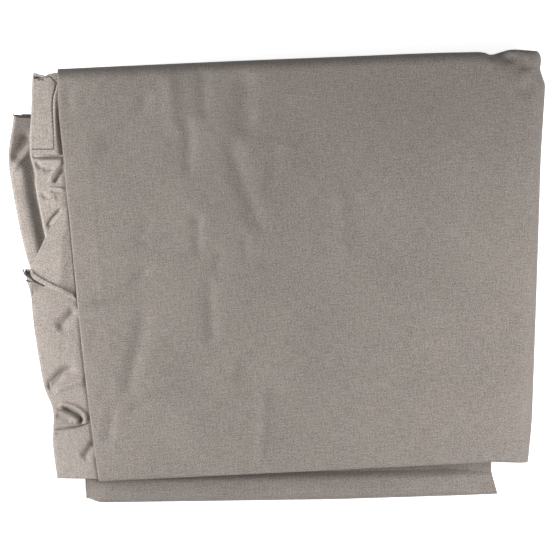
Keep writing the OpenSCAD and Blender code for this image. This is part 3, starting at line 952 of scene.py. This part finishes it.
def lowerLeftSkirt():
    # two folded layers, the inner one nested inside and under the outer
    outer = foldedPanel(skirt["left"], skirt["right"], skirtHeight, 2.3 * mm, 20 * mm, 300,
                        endTurn=skirt["frontFold"])
    inset = [(u + 0.016 + 0.006 * math.sin(9 * v), v) for u, v in skirt["left"]]
    inner = foldedPanel(inset, skirt["right"], lambda x, y: 37.6 * mm + 0.3 * (skirtHeight(x, y) - 43 * mm),
                        1.7 * mm, 16 * mm, 160, 0.985)
    # the skirt takes a brighter copy of the cloth: painted light
    panelPiece("lowerLeftSkirt", "lower_left_skirt", [outer, inner], "upper_half", face=skirtPaintedLightCloth)


def topSheetHem():
    # the hem allowance: a strip turned under along the outer sheet's left edge
    f = np.linspace(0.0, 1, 14)
    y = place(0, np.linspace(-0.74, 0.86, 120))[1]
    x = edgeX(y)[None] + 1.3 * mm + f[:, None] * 19.5 * mm
    y = np.broadcast_to(y[None], x.shape)
    points = np.stack([x, y, topHeight(x, y) - 1.85 * mm], axis=-1)
    panelPiece("topSheetHem", "top_sheet_hem", [points], "upper_half")


def casingElastic():
    # flat braided band through the casing and the gathered hem, slack enough to ripple a little
    line = route([(-0.875, 0.87), (-0.875, 0.53), (-0.85, 0.36), (-0.82, 0.18)], 160)
    way = np.gradient(line, axis=0)
    way /= np.linalg.norm(way, axis=1, keepdims=True)
    side = np.stack([way[:, 1], -way[:, 0]], axis=1)
    f = np.linspace(-7.4 * mm, 7.4 * mm, 16)
    plan = line[None] + side[None] * f[:, None, None]
    low = 42.0 * mm - 2.3 * mm * ease((place(0, 0.60)[1] - plan[..., 1]) / (9 * mm))
    z = low + 0.12 * mm * ripple(plan[..., 0], plan[..., 1], 20 * mm, 54)
    points = np.concatenate([plan, z[..., None]], axis=2)
    vertices, faces, uvs = clothGrid(points, measured(points)[0], 0.9 * mm)
    piece = meshObject("casingElastic", vertices, faces, uvs, elastic, "upper_half")
    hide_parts("casing_elastic")


stitchLook = {"length": 2.7 * mm, "gap": 0.45 * mm, "radius": 0.36 * mm}


def stitchRuns(shares, height, look=stitchLook):
    # stitches along a route: each one rises out of the cloth, lies on it and dips back in
    line = route(shares, 400)
    run = runLength(line)
    pitch = look["length"] + look["gap"]
    runs = []
    for start in np.arange(0, run[-1] - look["length"] * 0.6, pitch):
        s = np.linspace(start, min(start + look["length"] + look["gap"] * 0.35, run[-1]), 9)
        x, y = np.interp(s, run, line[:, 0]), np.interp(s, run, line[:, 1])
        rise = np.sin(np.linspace(0, math.pi, 9)) ** 0.5
        z = height(x, y) + (rise - 0.45) * 0.75 * look["radius"] + 0.36 * mm
        runs.append((np.stack([x, y, z], axis=1), look["radius"] * (0.55 + 0.45 * rise)))
    return runs


def casingStitches():
    for name, node, key in (("casingTopstitch", "casing_topstitch", "stitch"),
                            ("casingCrossStitch", "casing_cross_stitch", "crossStitch")):
        piece = threadPiece(name, stitchRuns(casing[key], casingHeight), thread, "upper_half")
        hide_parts(node)


def casingBarTack():
    # dense zigzag over the end of the elastic, and the two lines of thread that lead off it
    runs = []
    zig = np.linspace(-0.91, -0.895, 12)
    for k, u in enumerate(zig):
        x, y = place(np.linspace(u, u + 0.0015, 7), np.linspace(0.88, 0.87, 7)[::(-1) ** k])
        z = casingHeight(x, y) + 0.30 * mm + 0.25 * mm * np.sin(np.linspace(0, math.pi, 7))
        runs.append((np.stack([x, y, z], axis=1), 0.30 * mm))
    runs += stitchRuns([(-0.895, 0.875), (-0.87, 0.875)], casingHeight)
    runs += stitchRuns([(-0.90, 0.865), (-0.87, 0.865)], casingHeight,
                       {"length": 2.5 * mm, "gap": 0.9 * mm, "radius": 0.2 * mm})
    piece = threadPiece("casingBarTack", runs, thread, "upper_half")
    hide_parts("casing_bar_tack")


hemCasing()
lowerLeftSkirt()
topSheetHem()
casingElastic()
casingStitches()
casingBarTack()
print("hem casing and skirt done")


# the turned corner: a triangle of cloth folded over along its crease, with a sewn hem
flap = {
    "crease": [(-0.785, 0.305), (-0.85, 0.20), (-0.865, 0.165), (-0.92, 0.03)],
    "hem": [(-0.92, 0.03), (-0.91, -0.01), (-0.84, -0.055), (-0.80, -0.075), (-0.745, -0.11)],
    "clear": 1.0 * mm, "fold": 0.42 * mm, "hemWidth": 4 * mm, "level": 45.7 * mm,
}


def flapPlan(s, t):
    # plan of the flap: across from the crease (s 0) to the outer sheet's edge (s 1), down from its
    # root (t 0) to its hem (t 1), where the rows bend into the hem's own curve
    crease, hem = route(flap["crease"], 80), route(flap["hem"], 80)
    k = np.linspace(0, 1, 80)
    cx, cy = np.interp(t, k, crease[:, 0]), np.interp(t, k, crease[:, 1])
    rootX, rootY = crease[0]
    tipX, tipY = hem[-1]
    ey = rootY + (tipY - rootY) * t
    ex = np.minimum(edgeX(ey, flap["clear"]), rootX + (tipX - rootX) * t + 3 * mm)
    x, y = cx + s * (ex - cx), cy + s * (ey - cy)
    chordX = crease[-1, 0] + s * (tipX - crease[-1, 0])
    chordY = crease[-1, 1] + s * (tipY - crease[-1, 1])
    bend = t ** 3
    return x + bend * (np.interp(s, k, hem[:, 0]) - chordX), y + bend * (np.interp(s, k, hem[:, 1]) - chordY)


def flapHeight(s, t):  # softly crowned, and dipping into the gap beside the outer sheet
    crown = 2.3 * mm * np.minimum(s / 0.62, 1) * t
    dip = 3.4 * mm * ease((s - 0.60) / 0.40) * t
    return flap["level"] + crown - dip


def flapLeaf():  # the cloth that the flap is folded over from: it lies under the flap, out to its crease
    s, t = np.meshgrid(np.linspace(0.0, 1.12, 34), np.linspace(0.03, 0.97, 70), indexing="ij")
    x, y = flapPlan(s, t)
    z = flapHeight(s * 0, t) - 2.0 * mm - 0.3 * mm * ease(s / 0.8)
    return np.stack([x + 0.25 * mm, y, z], axis=-1)


def cornerFlap(sewnOn):
    fold = flap["fold"]
    S, T = np.meshgrid(np.linspace(0, 1, 60) ** 1.2, np.linspace(0.012, 1, 90), indexing="ij")
    x, y = flapPlan(S, T)
    top = np.stack([x, y, flapHeight(S, T)], axis=-1)
    inward = top[1, :, :2] - top[0, :, :2]
    inward /= np.maximum(np.linalg.norm(inward, axis=1, keepdims=True), 1e-9)
    turn = halfTurn(7, 270, 90)
    low = (top[0, :, 2] - fold)[None]
    curl = np.concatenate([top[0, None, :, :2] + inward[None] * (fold * np.cos(turn))[:, None, None],
                           (low + fold * np.sin(turn)[:, None])[..., None]], axis=2)
    points = np.concatenate([curl, top])
    uv, flat = measured(points)
    # the flap takes the brighter copy of the cloth: painted light
    piece = clothPiece("cornerFlap", points, uv, paintedLightCloth, "corner_flap_body")
    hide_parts("corner_flap")


def flapHem():
    # the hem: a narrow tube of cloth along the flap's lower edge, and a line of stitches on it
    k = np.linspace(0.01, 0.985, 120)
    x, y = flapPlan(k, np.ones(120))
    line = np.stack([x, y], axis=1)
    way = np.gradient(line, axis=0)
    way /= np.linalg.norm(way, axis=1, keepdims=True)
    side = np.stack([-way[:, 1], way[:, 0]], axis=1)
    angle = np.linspace(0, 2 * math.pi, 25)
    width = flap["hemWidth"] * np.minimum(1, 0.25 + 6 * np.minimum(k, 1 - k)) / 2
    out = (1 - np.cos(angle))[:, None] * width[None]
    proud = 0.30 * mm + 0.35 * mm * ease((k - 0.5) / 0.3)
    lift = (np.sign(np.sin(angle)) * np.abs(np.sin(angle)) ** 0.7)[:, None] * proud[None]
    plan = line[None] + side[None] * out[..., None]
    base = flapHeight(k, np.ones(120))[None] + 0.45 * mm + proud[None]
    points = np.concatenate([plan, (base - lift)[..., None]], axis=2)
    # the flap's hem takes the brighter copy of the cloth: painted light
    hem = panelPiece("cornerFlapHem", "corner_flap_hem", [points], "corner_flap_body", held=None,
                     thick=0.3 * mm, face=paintedLightCloth)
    inner = line + side * (width * 1.72)[:, None]
    run = runLength(inner)
    runs = []
    for start in np.arange(2 * mm, run[-1] - 4 * mm, 3.4 * mm):
        s = np.linspace(start, start + 2.7 * mm, 9)
        rise = np.sin(np.linspace(0, math.pi, 9)) ** 0.5
        z = np.interp(s, run, base[0] + proud * 0.85) + 0.12 * mm + (rise - 0.5) * 0.25 * mm
        runs.append((np.stack([np.interp(s, run, inner[:, 0]), np.interp(s, run, inner[:, 1]), z], axis=1),
                     0.24 * mm * (0.6 + 0.4 * rise)))
    piece = threadPiece("flapHemStitch", runs, thread, "corner_flap_body")
    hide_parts("flap_hem_stitch")
    return [hem, piece]


def seamEndThread():
    # the overlocked end of the side seam: a loose tuft of dark threads, thick at its end
    draw = np.random.default_rng(61)
    # plan points, number of threads, their scatter, radius in mm
    routes = [
        ([(-0.945, 0.025), (-0.935, 0.005), (-0.92, -0.01), (-0.905, -0.025), (-0.87, -0.045)],
         15, 0.0052, 0.36),
        ([(-0.94, 0.015), (-0.935, 0.005), (-0.92, -0.01)], 12, 0.0056, 0.32),
        ([(-0.94, -0.02), (-0.92, -0.025), (-0.905, -0.02), (-0.88, -0.035)], 6, 0.0014, 0.28),
    ]
    runs = []
    for shares, count, spread, radius in routes:
        for _ in range(count):
            away = draw.normal(0, spread, (len(shares), 2)) * np.linspace(1, 0.25, len(shares))[:, None]
            away[0] += [draw.uniform(-0.002, 0.010), 0]
            line = route(np.asarray(shares) + away, 24)
            z = np.maximum(np.linspace(40.2, 44.6, 24) * mm, skirtHeight(line[:, 0], line[:, 1]) + 0.4 * mm)
            z = z + abs(draw.normal(0, 0.35)) * mm
            runs.append((np.concatenate([line, z[:, None]], axis=1), radius * mm * draw.uniform(0.7, 1.1)))
    piece = threadPiece("seamEndThread", runs, thread, "upper_half")
    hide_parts("seam_end_thread")


gatheredHem()
cornerFlap(flapHem())
seamEndThread()
print("gathered hem and turned corner done")


# the back skirt layer: it hangs out lowest on the left, so its plan is spread a little from the middle
backLayer = {
    "spread": 1.013, "level": 19.4 * mm,
    "left": [(-0.98, 0.71), (-0.985, 0.66), (-1.0, 0.525), (-0.985, 0.38), (-0.94, 0.12), (-0.89, -0.06)],
    "right": [(-0.72, 0.705), (-0.72, 0.465), (-0.715, 0.245), (-0.71, -0.06)],
    "creases": [
        ([(-0.915, 0.64), (-0.945, 0.575), (-0.985, 0.495)], 5.0, -3.2),
        ([(-0.90, 0.59), (-0.925, 0.555), (-0.955, 0.51), (-1.0, 0.44)], 2.6, 2.0),
        ([(-0.975, 0.40), (-0.955, 0.28), (-0.935, 0.16)], 5.0, 0.8),
    ],
}


def backLayerHeight(x, y):
    x, y = middle[0] + (x - middle[0]) / backLayer["spread"], middle[1] + (y - middle[1]) / backLayer["spread"]
    v = share(x, y)[1]
    outline = np.asarray(backLayer["left"][::-1])
    leftEdge = np.interp(v, outline[:, 1], outline[:, 0])
    inside = np.clip(x - place(leftEdge, 0)[0], 0, 22 * mm) / (22 * mm)
    lower = ease((0.60 - v) / 0.14)
    crest = 1.6 * mm * ease(inside / 0.4) - 3.6 * mm * ease((inside - 0.40) / 0.45)
    fall = 5.0 * mm * inside * (1 - lower) - crest * lower
    z = backLayer["level"] - fall + creases(x, y, backLayer["creases"])
    return z + 0.25 * mm * ripple(x, y, 22 * mm, 71)


def spreadOut(shares):
    return [(u * backLayer["spread"], v * backLayer["spread"]) for u, v in shares]


def backSkirtLayer():
    left, right = spreadOut(backLayer["left"]), spreadOut(backLayer["right"])
    points = foldedPanel(left, right, backLayerHeight, 2.2 * mm, 20 * mm, 170)
    # the back layer takes the brighter copy of the cloth: painted light
    panelPiece("backSkirtLayer", "back_skirt_layer", [points], "lower_half", face=paintedLightCloth)


def backLayerOverlock():
    # overlocking over the raw back edges: slanting loops of thread and a thread that ties them
    runs = []
    edges = [([(-0.985, 0.71), (-0.97, 0.705), (-0.955, 0.70), (-0.88, 0.70)], 0.0),
             ([(-0.95, 0.71), (-0.915, 0.71)], 1.2)]
    for shares, lift in edges:
        line = route(spreadOut(shares), 200)
        run = runLength(line)
        for start in np.arange(0.6 * mm, run[-1] - 0.8 * mm, 1.15 * mm):
            a = np.linspace(-0.5 * math.pi, 1.5 * math.pi, 12)
            s = start + 0.5 * mm * np.linspace(0, 1, 12)
            x, y = np.interp(s, run, line[:, 0]), np.interp(s, run, line[:, 1])
            z = backLayerHeight(x, y) + lift * mm + 0.75 * mm * np.sin(a)
            runs.append((np.stack([x, y - 0.35 * mm + 0.62 * mm * np.cos(a), z], axis=1), 0.22 * mm))
        z = backLayerHeight(line[:, 0], line[:, 1]) + (0.9 + lift) * mm
        tie = np.concatenate([line, z[:, None]], axis=1)[::4]
        runs.append((tie, 0.26 * mm))
    piece = threadPiece("backLayerOverlock", runs, thread, "lower_half")
    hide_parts("back_layer_overlock")


backSkirtLayer()
backLayerOverlock()
print("back layer done")


# studio

studio = {
    "distance": 3.0, "frameWidth": 0.4424, "sensor": 36.0, "cameraBack": 0.4 * mm,
    "ambient": 0.20, "floorGlow": 0.80, "floorHalf": 3.0, "floorDrop": 0.4 * mm,
    # name, place, what it points at, size, watts
    "lights": [("keyLeft", (-0.60, -0.06, 0.27), (0, 0, 0.04), (0.45, 0.32), 4.9),
               ("fillRight", (0.54, -0.16, 0.42), (0.14, 0.0, 0.04), (0.30, 0.30), 3.4),
               ("fillFront", (0.0, -0.62, 0.30), (0, -0.17, 0.02), (0.6, 0.2), 0.9),
               ("overhead", (0.0, -0.2, 2.2), (0, 0, 0), (1.4, 1.4), 2.6)],
}


def cameraAbove():
    data = bpy.data.cameras.new("camera")
    data.sensor_width = studio["sensor"]
    data.lens = studio["sensor"] * studio["distance"] / studio["frameWidth"]
    data.clip_end = 20
    camera = bpy.data.objects.new("camera", data)
    bpy.context.collection.objects.link(camera)
    camera.location = (middle[0], middle[1] - studio["cameraBack"], roof + studio["distance"])
    bpy.context.scene.camera = camera


def softLight(name, location, target, size, power):
    data = bpy.data.lights.new(name, "AREA")
    data.shape = "RECTANGLE"
    data.size, data.size_y = size
    data.energy = power
    lamp = bpy.data.objects.new(name, data)
    bpy.context.collection.objects.link(lamp)
    lamp.location = location
    way = np.array(target, float) - np.array(location, float)
    lamp.rotation_euler = (math.acos(-way[2] / np.linalg.norm(way)), 0, math.atan2(way[0], -way[1]) + math.pi)


def studioRoom():
    mesh = bpy.data.meshes.new("floor")
    e, low = studio["floorHalf"], -studio["floorDrop"]
    mesh.from_pydata([(-e, -e, low), (e, -e, low), (e, e, low), (-e, e, low)], [], [(0, 1, 2, 3)])
    floor = bpy.data.objects.new("floor", mesh)
    bpy.context.collection.objects.link(floor)
    n = NodeTree("paleFloor")
    n.shader.inputs["Base Color"].default_value = (0.90, 0.90, 0.90, 1)
    n.shader.inputs["Roughness"].default_value = 0.9
    n.shader.inputs["Emission Color"].default_value = (1, 1, 1, 1)
    n.shader.inputs["Emission Strength"].default_value = studio["floorGlow"]
    mesh.materials.append(n.material)
    floor.visible_diffuse = False   # it is seen white and throws no light back on the cloth
    world = bpy.data.worlds.new("studio")
    bpy.context.scene.world = world
    world.use_nodes = True
    world.node_tree.nodes["Background"].inputs[0].default_value = (1, 1, 1, 1)
    world.node_tree.nodes["Background"].inputs[1].default_value = studio["ambient"]
    bpy.context.scene.view_settings.view_transform = "Standard"
    for light in studio["lights"]:
        softLight(*light)


cameraAbove()
studioRoom()
